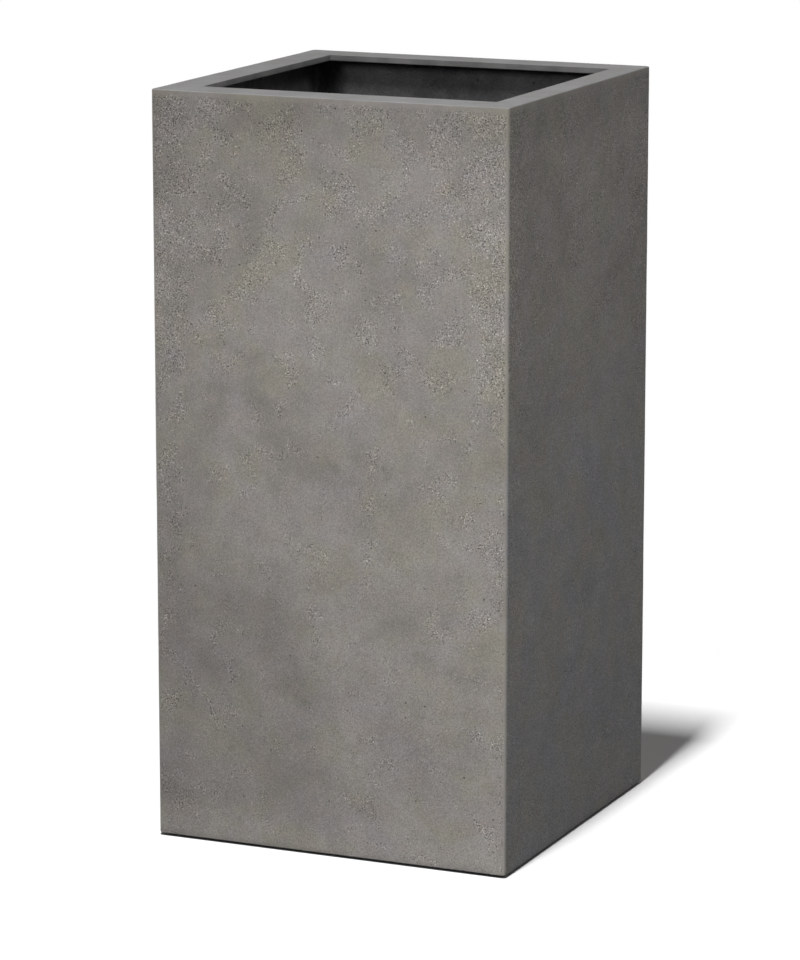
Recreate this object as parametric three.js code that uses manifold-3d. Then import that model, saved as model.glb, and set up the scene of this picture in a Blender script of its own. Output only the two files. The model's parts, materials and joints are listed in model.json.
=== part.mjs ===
// Tall square planter in stone-effect fibreglass, standing on four rubber pads.
// Millimetres, +Z up. X runs to the right along the front face and Y runs to the back.
// The origin is on the floor, under the middle of the planter.
//
// The shell is one moulding: four walls and a rim returned inwards at the top. The base
// is a separate panel, bonded in near the bottom. A shelf lifts off four corner ledges,
// and a rubber bung pulls out of the drain hole.

import * as THREE from 'three';
import { mergeVertices } from 'three/addons/utils/BufferGeometryUtils.js';
import Module from 'manifold-3d';

// ---------------------------------------------------------------- driving dimensions

// Overall
const width = 400;
const depth = 400;
const height = 800;
const floorGap = 2.5; // under the lower edge of the walls, left open by the pads

// Shell
const wallThickness = 5;
const cornerRadius = 4; // outside, on the upright corners
const edgeRadius = 1.8; // around the top and the bottom of the outer face
const insideCornerRadius = 6;

// Rim: its width on each side, as the opening sits off centre
const rimLeft = 40;
const rimRight = 30;
const rimFront = 40;
const rimBack = 42;
const rimThickness = 6.5;
const openingCornerRadius = 1.2;

// Base panel and its bonding fillet
const baseThickness = 6;
const baseRecess = 8; // underside of the base above the lower edge of the walls
const filletLeg = 12;
const bondGap = 0.3; // between glued faces, and wherever a loose piece rests

// Drain hole and bung
const drainRadius = 15;
const bungFit = 0.3; // radial
const bungTaper = 1.2; // how much smaller the shank is at its lower end
const bungShankBelowBase = 3;
const bungHeadRadius = 21;
const bungHeadThickness = 4;
const bungWall = 3.5;
const bungKnobRadius = 6;
const bungKnobHeight = 9; // above the head
const bungKnobNeck = 4;
const bungKnobThickness = 4.5; // from its underside at the neck to its top
const bungKnobSlope = 1.5; // how much its underside rises outwards
const bungRounding = 1; // on the upper edges of the head and the knob

// Foot pads
const padRadius = 22;
const padFaceRadius = 18; // the flat that meets the floor
const padEdgeHeight = 2; // height of the sloping lower edge
const padDraft = 1; // how much narrower it is above that edge than at its glued end
const padGlueBand = 1; // upright band at its glued end
const padInset = 50; // from the outer face of a wall to the pad's centre

// Shelf and the ledges that carry it
const soilDepth = 300; // from the rim down to the shelf
const shelfThickness = 8;
const shelfClearance = 5; // from the shelf's edge to the wall
const shelfCornerRadius = 14;
const shelfEdgeRadius = 1.5;
const liftHoleRadius = 20;
const shelfDrainRadius = 15;
const shelfDrainOffset = 105; // from the middle, along X and along Y
const ledgeLeg = 62;
const ledgeThickness = 10;

const cutOverrun = 5; // how far a cut runs past the face it starts from
const sameVertex = 1e-4; // corners of a mesh closer than this are one

// Fineness of round forms
const cornerSegments = 5;
const edgeSegments = 2;
const holeSegments = 12; // points on each half of a hole
const turnedSegments = 32;

// ---------------------------------------------------------------- places worked out

const shellBottom = floorGap;
const rimUnderside = height - rimThickness;
const baseUnderside = floorGap + baseRecess;
const baseTop = baseUnderside + baseThickness;
const insideWidth = width - 2 * wallThickness;
const insideDepth = depth - 2 * wallThickness;
const shelfTop = height - soilDepth;
const shelfUnderside = shelfTop - shelfThickness;
const ledgeTop = shelfUnderside - bondGap;

// ---------------------------------------------------------------- finishes

const finishes = {
  stoneGrp: new THREE.MeshStandardMaterial({ color: 0x8b8782, roughness: 0.82, metalness: 0 }),
  innerGrp: new THREE.MeshStandardMaterial({ color: 0x3a3a3b, roughness: 0.7, metalness: 0 }),
  rubber: new THREE.MeshStandardMaterial({ color: 0x1d1d1e, roughness: 0.9, metalness: 0 }),
};

// ---------------------------------------------------------------- solid helpers

const wasm = await Module();
wasm.setup();

// A closed three.js geometry as a solid that can be cut.
function toSolid(geometry) {
  const bare = geometry.clone();
  bare.deleteAttribute('normal');
  bare.deleteAttribute('uv');
  const merged = mergeVertices(bare, sameVertex);
  return new wasm.Manifold(new wasm.Mesh({
    numProp: 3,
    vertProperties: new Float32Array(merged.attributes.position.array),
    triVerts: new Uint32Array(merged.index.array),
  }));
}

// A cut solid as a three.js geometry again.
function toGeometry(solid) {
  const mesh = solid.getMesh();
  const geometry = new THREE.BufferGeometry();
  geometry.setAttribute('position', new THREE.BufferAttribute(mesh.vertProperties, mesh.numProp));
  geometry.setIndex(new THREE.BufferAttribute(mesh.triVerts, 1));
  geometry.computeVertexNormals();
  return geometry;
}

// A rectangle with round corners, from its low corner to its high corner.
function roundedRectangle(x0, y0, x1, y1, radius) {
  const shape = new THREE.Shape();
  shape.absarc(x1 - radius, y0 + radius, radius, -Math.PI / 2, 0);
  shape.absarc(x1 - radius, y1 - radius, radius, 0, Math.PI / 2);
  shape.absarc(x0 + radius, y1 - radius, radius, Math.PI / 2, Math.PI);
  shape.absarc(x0 + radius, y0 + radius, radius, Math.PI, 1.5 * Math.PI);
  shape.closePath();
  return shape;
}

// A rectangle of this size about the middle, with round corners.
function centredRectangle(sizeX, sizeY, radius) {
  return roundedRectangle(-sizeX / 2, -sizeY / 2, sizeX / 2, sizeY / 2, radius);
}

// A round hole to leave out of a shape.
function roundHole(x, y, radius) {
  const hole = new THREE.Path();
  hole.absarc(x, y, radius, 0, 2 * Math.PI, true);
  return hole;
}

// A plate or block: a shape raised from one height to another, its edges rounded over.
function raised(shape, bottom, top, rounding = 0, curveSegments = cornerSegments) {
  const geometry = new THREE.ExtrudeGeometry(shape, {
    depth: top - bottom - 2 * rounding,
    curveSegments,
    bevelEnabled: rounding > 0,
    bevelThickness: rounding,
    bevelSize: rounding,
    bevelOffset: -rounding,
    bevelSegments: edgeSegments,
  });
  return geometry.translate(0, 0, bottom + rounding);
}

// A turned piece: its half section, as [radius, height] points, spun about the Z axis.
function turned(halfSection, segments = turnedSegments) {
  const points = halfSection.map(([radius, z]) => new THREE.Vector2(radius, z));
  const geometry = new THREE.LatheGeometry(points, segments);
  return geometry.rotateX(Math.PI / 2);
}

// ---------------------------------------------------------------- sub-parts

// The one-piece moulding: walls open at the bottom, with the rim returned inwards.
function makeOuterShell() {
  const block = toSolid(raised(
    centredRectangle(width, depth, cornerRadius), shellBottom, height, edgeRadius,
  ));
  const cavity = toSolid(raised(
    centredRectangle(insideWidth, insideDepth, insideCornerRadius),
    shellBottom - cutOverrun, rimUnderside,
  ));
  const opening = toSolid(raised(
    roundedRectangle(
      -width / 2 + rimLeft, -depth / 2 + rimFront,
      width / 2 - rimRight, depth / 2 - rimBack,
      openingCornerRadius,
    ),
    rimUnderside - cutOverrun, height + cutOverrun,
  ));
  return toGeometry(block.subtract(cavity).subtract(opening));
}

// The floor of the planter, with its drain hole in the middle.
function makeBasePanel() {
  const outline = centredRectangle(
    insideWidth - 2 * bondGap, insideDepth - 2 * bondGap, insideCornerRadius - bondGap,
  );
  outline.holes.push(roundHole(0, 0, drainRadius));
  return raised(outline, baseUnderside, baseTop, 0, holeSegments);
}

// The ring of bonding paste in the angle between the base and the walls, struck hollow.
function makeBaseFillet() {
  const bottom = baseTop + bondGap;
  const block = toSolid(raised(
    centredRectangle(
      insideWidth - 2 * bondGap, insideDepth - 2 * bondGap, insideCornerRadius - bondGap,
    ),
    bottom, bottom + filletLeg,
  ));
  // The room left inside has its edges rounded by the fillet's own radius, so its upper
  // ones are kept above the fillet.
  const room = toSolid(raised(
    centredRectangle(insideWidth, insideDepth, filletLeg + insideCornerRadius),
    bottom - bondGap, bottom + 2 * filletLeg + cutOverrun, filletLeg,
  ));
  return toGeometry(block.subtract(room));
}

// The rubber bung: a hollow tapered shank under a round head, with a knob to pull.
function makeDrainBung() {
  const seat = baseTop + bondGap;
  const shankTopRadius = drainRadius - bungFit;
  const shankBottomRadius = shankTopRadius - bungTaper;
  const shankBottom = baseUnderside - bungShankBelowBase;
  const headTop = seat + bungHeadThickness;
  const knobTop = headTop + bungKnobHeight;
  const knobUnderside = knobTop - bungKnobThickness;
  return turned([
    [0, seat],
    [shankBottomRadius - bungWall, seat],
    [shankBottomRadius - bungWall, shankBottom],
    [shankBottomRadius, shankBottom],
    [shankTopRadius, baseTop],
    [shankTopRadius, seat],
    [bungHeadRadius, seat],
    [bungHeadRadius, headTop - bungRounding],
    [bungHeadRadius - bungRounding, headTop],
    [bungKnobNeck, headTop],
    [bungKnobNeck, knobUnderside],
    [bungKnobRadius, knobUnderside + bungKnobSlope],
    [bungKnobRadius, knobTop - bungRounding],
    [bungKnobRadius - bungRounding, knobTop],
    [0, knobTop],
  ]);
}

// A rubber pad glued under the base: wider at the glued end.
function makeFootPad() {
  const padTop = baseUnderside - bondGap;
  return turned([
    [0, 0],
    [padFaceRadius, 0],
    [padRadius - padDraft, padEdgeHeight],
    [padRadius, padTop - padGlueBand],
    [padRadius, padTop],
    [0, padTop],
  ]);
}

// A triangular ledge in the corner at plus X, plus Y, drawn about that corner.
function makeShelfLedge() {
  const fit = insideCornerRadius;
  const shape = new THREE.Shape();
  shape.moveTo(-bondGap, -ledgeLeg);
  shape.lineTo(-bondGap, -fit);
  shape.absarc(-fit, -fit, fit - bondGap, 0, Math.PI / 2);
  shape.lineTo(-ledgeLeg, -bondGap);
  shape.closePath();
  return raised(shape, ledgeTop - ledgeThickness, ledgeTop);
}

// The lift-out shelf: a plate with a lifting hole and four drain holes.
function makePlantingShelf() {
  const outline = centredRectangle(
    insideWidth - 2 * shelfClearance, insideDepth - 2 * shelfClearance, shelfCornerRadius,
  );
  outline.holes.push(roundHole(0, 0, liftHoleRadius));
  for (const x of [-shelfDrainOffset, shelfDrainOffset]) {
    for (const y of [-shelfDrainOffset, shelfDrainOffset]) {
      outline.holes.push(roundHole(x, y, shelfDrainRadius));
    }
  }
  return raised(outline, shelfUnderside, shelfTop, shelfEdgeRadius, holeSegments);
}

// ---------------------------------------------------------------- assembly

function addPiece(group, name, geometry, finish) {
  const mesh = new THREE.Mesh(geometry, finish);
  mesh.name = name;
  group.add(mesh);
  return mesh;
}

const planter = new THREE.Group();
addPiece(planter, 'outer_shell', makeOuterShell(), finishes.stoneGrp);
addPiece(planter, 'base_panel', makeBasePanel(), finishes.innerGrp);
addPiece(planter, 'base_bonding_fillet', makeBaseFillet(), finishes.innerGrp);
addPiece(planter, 'planting_shelf', makePlantingShelf(), finishes.innerGrp);
addPiece(planter, 'drain_bung', makeDrainBung(), finishes.rubber);

// The pads and ledges repeat in the four corners.
const corners = [
  { name: 'front_left', sx: -1, sy: -1, turn: Math.PI },
  { name: 'front_right', sx: 1, sy: -1, turn: -Math.PI / 2 },
  { name: 'back_left', sx: -1, sy: 1, turn: Math.PI / 2 },
  { name: 'back_right', sx: 1, sy: 1, turn: 0 },
];
for (const { name, sx, sy, turn } of corners) {
  const pad = addPiece(planter, `foot_pad_${name}`, makeFootPad(), finishes.rubber);
  pad.position.set(sx * (width / 2 - padInset), sy * (depth / 2 - padInset), 0);
  const ledge = addPiece(planter, `shelf_ledge_${name}`, makeShelfLedge(), finishes.innerGrp);
  ledge.position.set(sx * insideWidth / 2, sy * insideDepth / 2, 0);
  ledge.rotation.z = turn;
}

export default planter;
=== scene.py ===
"""Tall square planter in stone-effect fibreglass: surfaces, light and camera.

Metres, +Z up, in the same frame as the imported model: X runs to the right along the front
face, Y to the back, and the origin is on the floor under the middle of the planter.
"""

import functools
import json
import logging
import math
import random
from collections.abc import Callable, Iterable
from dataclasses import dataclass, field, replace
from enum import Enum
from typing import Protocol

import bmesh
import bpy
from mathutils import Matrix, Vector

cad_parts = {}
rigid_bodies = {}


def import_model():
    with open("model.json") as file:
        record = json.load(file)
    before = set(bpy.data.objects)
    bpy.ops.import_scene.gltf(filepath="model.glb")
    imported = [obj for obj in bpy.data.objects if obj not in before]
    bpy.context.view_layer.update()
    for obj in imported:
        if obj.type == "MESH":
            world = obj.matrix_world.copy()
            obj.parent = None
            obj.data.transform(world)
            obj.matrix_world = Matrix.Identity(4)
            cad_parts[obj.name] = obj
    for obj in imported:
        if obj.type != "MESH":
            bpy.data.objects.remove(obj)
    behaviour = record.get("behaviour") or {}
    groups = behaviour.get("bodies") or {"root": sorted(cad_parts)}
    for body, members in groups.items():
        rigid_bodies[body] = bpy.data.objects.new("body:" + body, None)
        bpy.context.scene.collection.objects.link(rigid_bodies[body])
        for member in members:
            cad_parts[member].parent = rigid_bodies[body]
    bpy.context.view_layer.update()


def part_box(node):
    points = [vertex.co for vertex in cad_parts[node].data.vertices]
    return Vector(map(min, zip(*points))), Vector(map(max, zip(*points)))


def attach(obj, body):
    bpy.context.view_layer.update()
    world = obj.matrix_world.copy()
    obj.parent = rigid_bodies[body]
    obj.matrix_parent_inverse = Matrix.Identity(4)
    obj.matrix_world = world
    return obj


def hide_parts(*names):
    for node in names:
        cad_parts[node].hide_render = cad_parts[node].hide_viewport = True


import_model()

LOG = logging.getLogger("planter")

Point = tuple[float, float, float]
Colour = tuple[float, float, float]
Span = tuple[float, float]
Socket = bpy.types.NodeSocket

MM = 0.001
WHITE: Colour = (1.0, 1.0, 1.0)
# Most of a noise lies between these two values.
MIDDLE: Span = (0.3, 0.7)
# The noise that shakes cells has this many clouds to the width of a cell.
SHAKE_SCALE = 0.7


class Body(Enum):
    """The bodies that pieces ride on."""

    PLANTER = "planter"
    SHELF = "planting_shelf"
    BUNG = "drain_bung"


class Slot(Enum):
    """The material slots of the record."""

    STONE = "stone_effect_grp"
    INSIDE = "inner_grp"
    RUBBER = "rubber"


def srgb(red: int, green: int, blue: int) -> Colour:
    """Turn a display colour into linear light.

    Args:
        red, green, blue: channels from 0 to 255.

    Returns:
        The same colour as linear red, green and blue from 0 to 1.
    """

    def linear(channel: int) -> float:
        """One channel in linear light."""
        share = channel / 255
        return share / 12.92 if share <= 0.04045 else ((share + 0.055) / 1.055) ** 2.4

    return (linear(red), linear(green), linear(blue))


# ------------------------------------------------------------------ shader building


class NodeGraph:
    """Builds one material, or the world, out of nodes, on Object coordinates."""

    def __init__(self, owner: bpy.types.Material | bpy.types.World) -> None:
        """Clear the nodes of a material or a world.

        Args:
            owner: what the nodes belong to.
        """
        self.owner = owner
        owner.use_nodes = True
        self.tree = owner.node_tree
        self.tree.nodes.clear()
        self.place = self.node("ShaderNodeTexCoord").outputs["Object"]

    @classmethod
    def named(cls, name: str) -> "NodeGraph":
        """Start a new material of this name."""
        return cls(bpy.data.materials.new(name))

    def node(
        self, kind: str, inputs: dict[str | int, object] | None = None, **settings: object
    ) -> bpy.types.Node:
        """Add a node.

        Args:
            kind: its Blender type.
            inputs: sockets, numbers or colours for its inputs, by name or by place.
            settings: attributes to set on it.

        Returns:
            The new node.
        """
        made = self.tree.nodes.new(kind)
        for name, value in settings.items():
            setattr(made, name, value)
        for name, value in (inputs or {}).items():
            self.feed(made.inputs[name], value)
        return made

    def feed(self, socket: Socket, value: object) -> None:
        """Link a socket, or set its value when it is a plain number or colour.

        Args:
            socket: an input.
            value: an output, a number, a point or a colour.
        """
        if isinstance(value, Socket):
            self.tree.links.new(value, socket)
        elif isinstance(value, tuple) and socket.type == "RGBA":
            socket.default_value = (*value, 1.0)
        else:
            socket.default_value = value

    def moved(
        self,
        offset: Point = (0.0, 0.0, 0.0),
        turn: Point = (0.0, 0.0, 0.0),
        scale: Point = (1.0, 1.0, 1.0),
        vector: Socket | None = None,
    ) -> Socket:
        """Coordinates stretched, turned and then shifted.

        Args:
            offset: shift in metres.
            turn: angles in degrees about X, Y and Z.
            scale: stretch along each axis.
            vector: coordinates to change in place of the object's own.

        Returns:
            The changed coordinates.
        """
        inputs = {
            "Vector": vector or self.place,
            "Location": offset,
            "Rotation": tuple(math.radians(angle) for angle in turn),
            "Scale": scale,
        }
        return self.node("ShaderNodeMapping", inputs).outputs["Vector"]

    def noise(
        self,
        size: float,
        detail: float = 2.0,
        roughness: float = 0.5,
        offset: Point = (0.0, 0.0, 0.0),
        distortion: float = 0.0,
        vector: Socket | None = None,
    ) -> Socket:
        """Cloudy noise from 0 to 1.

        Args:
            size: size of one cloud in metres.
            detail: octaves of finer noise.
            roughness: how much the finer noise shows.
            offset: shift, so that two noises of a size differ.
            distortion: how much the clouds are stirred.
            vector: coordinates to read in place of the object's own.

        Returns:
            The noise.
        """
        inputs = {
            "Vector": vector or self.moved(offset),
            "Scale": 1 / size,
            "Detail": detail,
            "Roughness": roughness,
            "Distortion": distortion,
        }
        return self.node("ShaderNodeTexNoise", inputs).outputs["Fac"]

    def cells(self, size: float, vector: Socket) -> tuple[Socket, Socket]:
        """Scattered cells.

        Args:
            size: usual distance between cells in metres.
            vector: coordinates.

        Returns:
            The distance from the nearest cell's middle, in cell sizes, and a random
            number for each cell.
        """
        made = self.node("ShaderNodeTexVoronoi", {"Vector": vector, "Scale": 1 / size})
        split = self.node("ShaderNodeSeparateColor", {"Color": made.outputs["Color"]})
        return made.outputs["Distance"], split.outputs["Red"]

    def shaken(self, size: float, stir: float, vector: Socket) -> Socket:
        """Coordinates pushed about at random, so that cells get ragged outlines.

        Args:
            size: usual distance between the cells in metres.
            stir: how far a point is pushed, in cell sizes.
            vector: coordinates.

        Returns:
            The pushed coordinates.
        """
        inputs = {"Vector": vector, "Scale": SHAKE_SCALE / size}
        push = self.node("ShaderNodeTexNoise", inputs).outputs["Color"]
        inputs = {0: vector, 1: self.brighten(push, stir * size)}
        return self.node("ShaderNodeVectorMath", inputs, operation="ADD").outputs[0]

    def hollows(self, spacing: float, vector: Socket, width: Span, luck: Span) -> Socket:
        """Scattered round hollows, from 0 on the surface to 1 at their bottom.

        Args:
            spacing: usual distance between cells in metres; not every cell has a hollow.
            vector: coordinates.
            width: distance from a cell's middle at the hollow's edge and at its bottom.
            luck: random number of a cell from which it has a hollow, faint and full.

        Returns:
            The hollows.
        """
        distance, chance = self.cells(spacing, vector)
        return self.product(self.spread(distance, *width), self.spread(chance, *luck))

    def maths(self, operation: str, first: object, second: object = 0.0) -> Socket:
        """One sum of two numbers or sockets, by Blender's name for it, such as MAXIMUM."""
        return self.node("ShaderNodeMath", {0: first, 1: second}, operation=operation).outputs[0]

    def total(self, *terms: object) -> Socket:
        """The sum of several numbers or sockets."""
        return functools.reduce(lambda so_far, term: self.maths("ADD", so_far, term), terms)

    def product(self, *factors: object) -> Socket:
        """The product of several numbers or sockets."""
        return functools.reduce(lambda so_far, by: self.maths("MULTIPLY", so_far, by), factors)

    def gain(self, change: object) -> Socket:
        """A factor of 1 plus a change."""
        return self.maths("ADD", 1.0, change)

    def loss(self, change: object) -> Socket:
        """A factor of 1 less a change."""
        return self.maths("SUBTRACT", 1.0, change)

    def swing(self, value: object, amount: float) -> Socket:
        """A factor of 1 less to 1 plus an amount, as a value goes from 0 to 1."""
        return self.gain(self.product(self.maths("SUBTRACT", value, 0.5), 2.0, amount))

    def spread(
        self, value: object, low: float, high: float, start: float = 0.0, end: float = 1.0
    ) -> Socket:
        """Ease a value from one number to another, and hold it outside.

        Args:
            value: what is read.
            low, high: the values read at which the change starts and ends.
            start, end: the results there.

        Returns:
            The eased value.
        """
        inputs = {
            "Value": value,
            "From Min": low,
            "From Max": high,
            "To Min": start,
            "To Max": end,
        }
        made = self.node("ShaderNodeMapRange", inputs, interpolation_type="SMOOTHSTEP")
        return made.outputs["Result"]

    def either(self, mask: object, ends: Span) -> Socket:
        """One number where a mask is 0 and another where it is 1."""
        return self.spread(mask, 0.0, 1.0, *ends)

    def tint(self, share: object, under: object, over: object) -> Socket:
        """Mix two colours by a share from 0 to 1."""
        inputs = {0: share, 6: under, 7: over}
        return self.node("ShaderNodeMix", inputs, data_type="RGBA").outputs[2]

    def brighten(self, colour: object, factor: object) -> Socket:
        """A colour times a number."""
        inputs = {0: colour, "Scale": factor}
        return self.node("ShaderNodeVectorMath", inputs, operation="SCALE").outputs[0]

    def axis(self, name: str) -> Socket:
        """One Object coordinate, X, Y or Z, in metres."""
        return self.node("ShaderNodeSeparateXYZ", {0: self.place}).outputs[name]

    def off_middle(self, name: str) -> Socket:
        """Distance from the middle of the planter along X or Y."""
        return self.maths("ABSOLUTE", self.axis(name))

    def seen_directly(self) -> Socket:
        """1 for rays from the camera, a mirror or a glass, and 0 for diffuse light.

        Returns:
            The mask.
        """
        rays = self.node("ShaderNodeLightPath").outputs
        seen = self.maths("MAXIMUM", rays["Is Camera Ray"], rays["Is Glossy Ray"])
        return self.maths("MAXIMUM", seen, rays["Is Transmission Ray"])

    def blend(self, share: Socket, under: bpy.types.Node, over: bpy.types.Node) -> Socket:
        """Mix two shaders by a share from 0 to 1."""
        inputs = {0: share, 1: under.outputs[0], 2: over.outputs[0]}
        return self.node("ShaderNodeMixShader", inputs).outputs[0]

    def show(self, shader: Socket) -> bpy.types.Material | bpy.types.World:
        """Put a shader on the surface of the material, or all round in the world.

        Args:
            shader: the shader.

        Returns:
            The material or the world.
        """
        kind = "World" if isinstance(self.owner, bpy.types.World) else "Material"
        self.node(f"ShaderNodeOutput{kind}", {"Surface": shader})
        return self.owner

    def close(
        self, colour: object, roughness: object, height_mm: object, specular: float
    ) -> bpy.types.Material:
        """Finish the material with one Principled shader over a relief.

        Args:
            colour: base colour.
            roughness: its roughness.
            height_mm: heights in millimetres, which bend the normal.
            specular: strength of its mirror-like part.

        Returns:
            The material.
        """
        inputs = {"Strength": 1.0, "Distance": MM, "Height": height_mm}
        bump = self.node("ShaderNodeBump", inputs)
        inputs = {
            "Base Color": colour,
            "Roughness": roughness,
            "Normal": bump.outputs["Normal"],
            "Specular IOR Level": specular,
        }
        return self.show(self.node("ShaderNodeBsdfPrincipled", inputs).outputs["BSDF"])


# ------------------------------------------------------------------ finishes


class Finish(Protocol):
    """Anything that can be made a material."""

    def material(self) -> bpy.types.Material:
        """Build the finish."""


@dataclass(frozen=True)
class Tint:
    """A faint colour that comes and goes over the coat in soft patches."""

    colour: Colour
    patch_size: float
    share: float
    offset: Point


@dataclass(frozen=True)
class PaintedLightPatch:
    """One wide soft patch of painted light or painted shade on the front and the back."""

    x: float
    z: float
    radius: float
    gain: float


@dataclass(frozen=True)
class Scatter:
    """Small marks of one kind: their spacing, how ragged they are and where they crowd."""

    spacing: float
    stir: float
    crowd: float
    chance: Span
    shade: float


@dataclass(frozen=True)
class StoneFace:
    """The stone-effect face coat: clouded grey, sandy all over, pitted in clusters.

    Lengths are in metres and depths in millimetres. A span says where along a height, a
    distance or a noise a change starts and ends; a gain or a shade says how much of its
    light the colour wins or loses.
    """

    name: str = "stone_face"
    half_width: float = 0.2
    height: float = 0.8
    roughness: Span = (0.7, 0.86)
    specular: float = 0.15
    least_light: float = 0.2

    pale: Colour = srgb(142, 138, 133)
    deep: Colour = srgb(121, 117, 112)
    cloud_size: float = 0.16
    tints: tuple[Tint, ...] = (
        Tint(srgb(135, 132, 120), 0.0576, 0.65, (5.0, 0.0, 0.0)),
        Tint(srgb(135, 131, 130), 0.048, 0.60, (0.0, 7.0, 0.0)),
        Tint(srgb(137, 128, 121), 0.0288, 0.40, (0.0, 0.0, 9.0)),
    )
    tint_span: Span = (0.46, 0.63)
    # Painted light and shade: wide soft patches on the front and the back.
    painted_light_patches: tuple[PaintedLightPatch, ...] = (
        PaintedLightPatch(-0.14, 0.24, 0.15, -0.15),
        PaintedLightPatch(0.16, 0.25, 0.17, 0.10),
        PaintedLightPatch(-0.12, 0.56, 0.17, 0.07),
        PaintedLightPatch(0.06, 0.56, 0.10, -0.05),
        PaintedLightPatch(-0.08, 0.12, 0.15, -0.12),
        PaintedLightPatch(0.10, 0.14, 0.08, -0.10),
        PaintedLightPatch(-0.07, 0.28, 0.09, -0.11),
        PaintedLightPatch(-0.17, 0.09, 0.08, -0.08),
        PaintedLightPatch(-0.05, 0.75, 0.18, -0.08),
        PaintedLightPatch(0.15, 0.05, 0.10, 0.07),
    )
    # Painted shade towards the left arris of the front and the back.
    left_shade_span: Span = (-0.2, -0.12)
    left_shade_light: float = 0.90
    rim_band: Span = (0.07, 0.02)
    rim_gains: Span = (-0.14, -0.22)
    foot_band: Span = (0.01, 0.06)
    foot_gains: Span = (0.13, 0.0)

    # Painted shade: the side faces turn a colder grey low down; the blue and brown blots are
    # tone.
    cold_side_shade: Colour = srgb(128, 128, 126)
    blue_blot: Colour = srgb(124, 123, 127)
    brown_blot: Colour = srgb(131, 127, 121)
    blot_size: float = 0.045
    blue_span: Span = (0.36, 0.5)
    brown_span: Span = (0.5, 0.64)
    cold_side_shade_heights: Span = (0.576, 0.4)
    cold_side_shade_share: float = 0.62
    # Painted shade: the side faces darker towards the foot.
    shaded_side_foot: Span = (0.0, 0.3)
    side_foot_shade: float = -0.15
    side_stretch: float = 0.5
    side_grain: float = 1.5
    side_zone: float = 0.45
    side_blend: float = 0.002

    zone_size: float = 0.034
    zone_span: Span = (0.50, 0.66)
    zone_heights: Span = (0.4, 0.68)
    zone_rise: Span = (-0.03, 0.05)
    arris_span: Span = (0.08, 0.015)
    arris_crowd: float = 0.10
    arris_heights: Span = (0.36, 0.64)
    arris_rise: Span = (0.5, 1.25)
    rubbed_arris: Span = (0.0015, 0.0045)
    rubbed_top: Span = (0.003, 0.009)
    rubbed_gain: float = 1.05

    # The sand is painted dark over each grain and pale under it: painted light from above.
    sand_size: float = 0.0018
    sand_drop: float = 0.0006
    sand_offset: float = 6.0
    sand_contrast: float = 6.0
    sand_shade: float = 0.10
    sharp_shade: float = 0.08
    sand_heights: Span = (0.08, 0.6)
    sand_by_height: Span = (1.2, 1.0)
    sand_by_zone: Span = (0.85, 1.3)
    sand_on_arris: float = 0.25
    mottle_size: float = 0.009
    mottle_shade: float = 0.05
    blotch_size: float = 0.03
    blotch_shade: float = 0.2

    chips: Scatter = Scatter(0.0023, 0.8, 0.32, (0.95, 1.15), 0.42)
    # Painted highlight on each chip's lip and painted shade in its hollow.
    chip_lit_lip: Span = (0.62, 0.40)
    chip_shaded_floor: Span = (0.40, 0.16)
    chip_floor_shade: float = -2.8
    specks: Scatter = Scatter(0.0020, 1.0, 0.14, (0.95, 1.02), 0.75)
    speck_span: Span = (0.45, 0.2)
    speck_kinds: Span = (0.44, 0.56)
    speck_gains: Span = (-0.6, 1.0)
    # The pits are painted darker too: painted shade in their hollows.
    pits: Scatter = Scatter(0.011, 0.0, 0.12, (0.85, 0.9), 0.5)
    pit_span: Span = (0.12, 0.05)
    pit_depth: float = 0.9
    grit_size: float = 0.0024
    grit_depth: float = 0.18
    lump_size: float = 0.022
    lump_depth: float = 0.15

    def material(self) -> bpy.types.Material:
        """Build the finish.

        Returns:
            The material.
        """
        graph = NodeGraph.named(self.name)
        height = graph.axis("Z")
        beside = self._beside(graph)
        open_face = self._open_face(graph, height)
        zone = graph.product(
            self._zones(graph, height), open_face, graph.either(beside, (1.0, self.side_zone))
        )
        grain = graph.either(beside, (1.0, self.side_grain))
        sandy = graph.product(
            graph.spread(height, *self.sand_heights, *self.sand_by_height),
            graph.either(zone, self.sand_by_zone),
            graph.either(open_face, (self.sand_on_arris, 1.0)),
            grain,
        )
        distance, present = self._scattered(graph, self.pits, zone)
        pits = graph.product(graph.spread(distance, *self.pit_span), present, open_face)
        # Painted light and shade of the sand, the chips and the pits, with mottles and rubbed
        # arrises.
        light = graph.product(
            self._sand_light(graph, sandy, zone),
            self._mottling(graph),
            graph.gain(graph.product(self._marks(graph, zone), open_face, grain)),
            graph.loss(graph.product(pits, self.pits.shade)),
            graph.either(open_face, (self.rubbed_gain, 1.0)),
        )
        colour = graph.brighten(
            self._colour(graph, height, beside), graph.maths("MAXIMUM", light, self.least_light)
        )
        roughness = graph.either(zone, self.roughness)
        return graph.close(colour, roughness, self._height_mm(graph, sandy, pits), self.specular)

    def _beside(self, graph: NodeGraph) -> Socket:
        """0 on the front and the back, 1 on the left and the right face."""
        sideways = graph.maths("SUBTRACT", graph.off_middle("X"), graph.off_middle("Y"))
        return graph.spread(sideways, -self.side_blend, self.side_blend)

    def _from_arris(self, graph: NodeGraph) -> Socket:
        """Distance along a face from its nearest upright arris, in metres."""
        along = graph.maths("MINIMUM", graph.off_middle("X"), graph.off_middle("Y"))
        return graph.maths("SUBTRACT", self.half_width, along)

    def _under_top(self, depths: Span) -> Span:
        """Turn two depths under the top into heights over the floor."""
        return (self.height - depths[0], self.height - depths[1])

    def _open_face(self, graph: NodeGraph, height: Socket) -> Socket:
        """0 on the rubbed arrises and 1 on the open face.

        Args:
            graph: the material.
            height: height over the floor.

        Returns:
            The mask.
        """
        return graph.product(
            graph.spread(self._from_arris(graph), *self.rubbed_arris),
            graph.spread(height, *self._under_top(self.rubbed_top)),
        )

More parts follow.
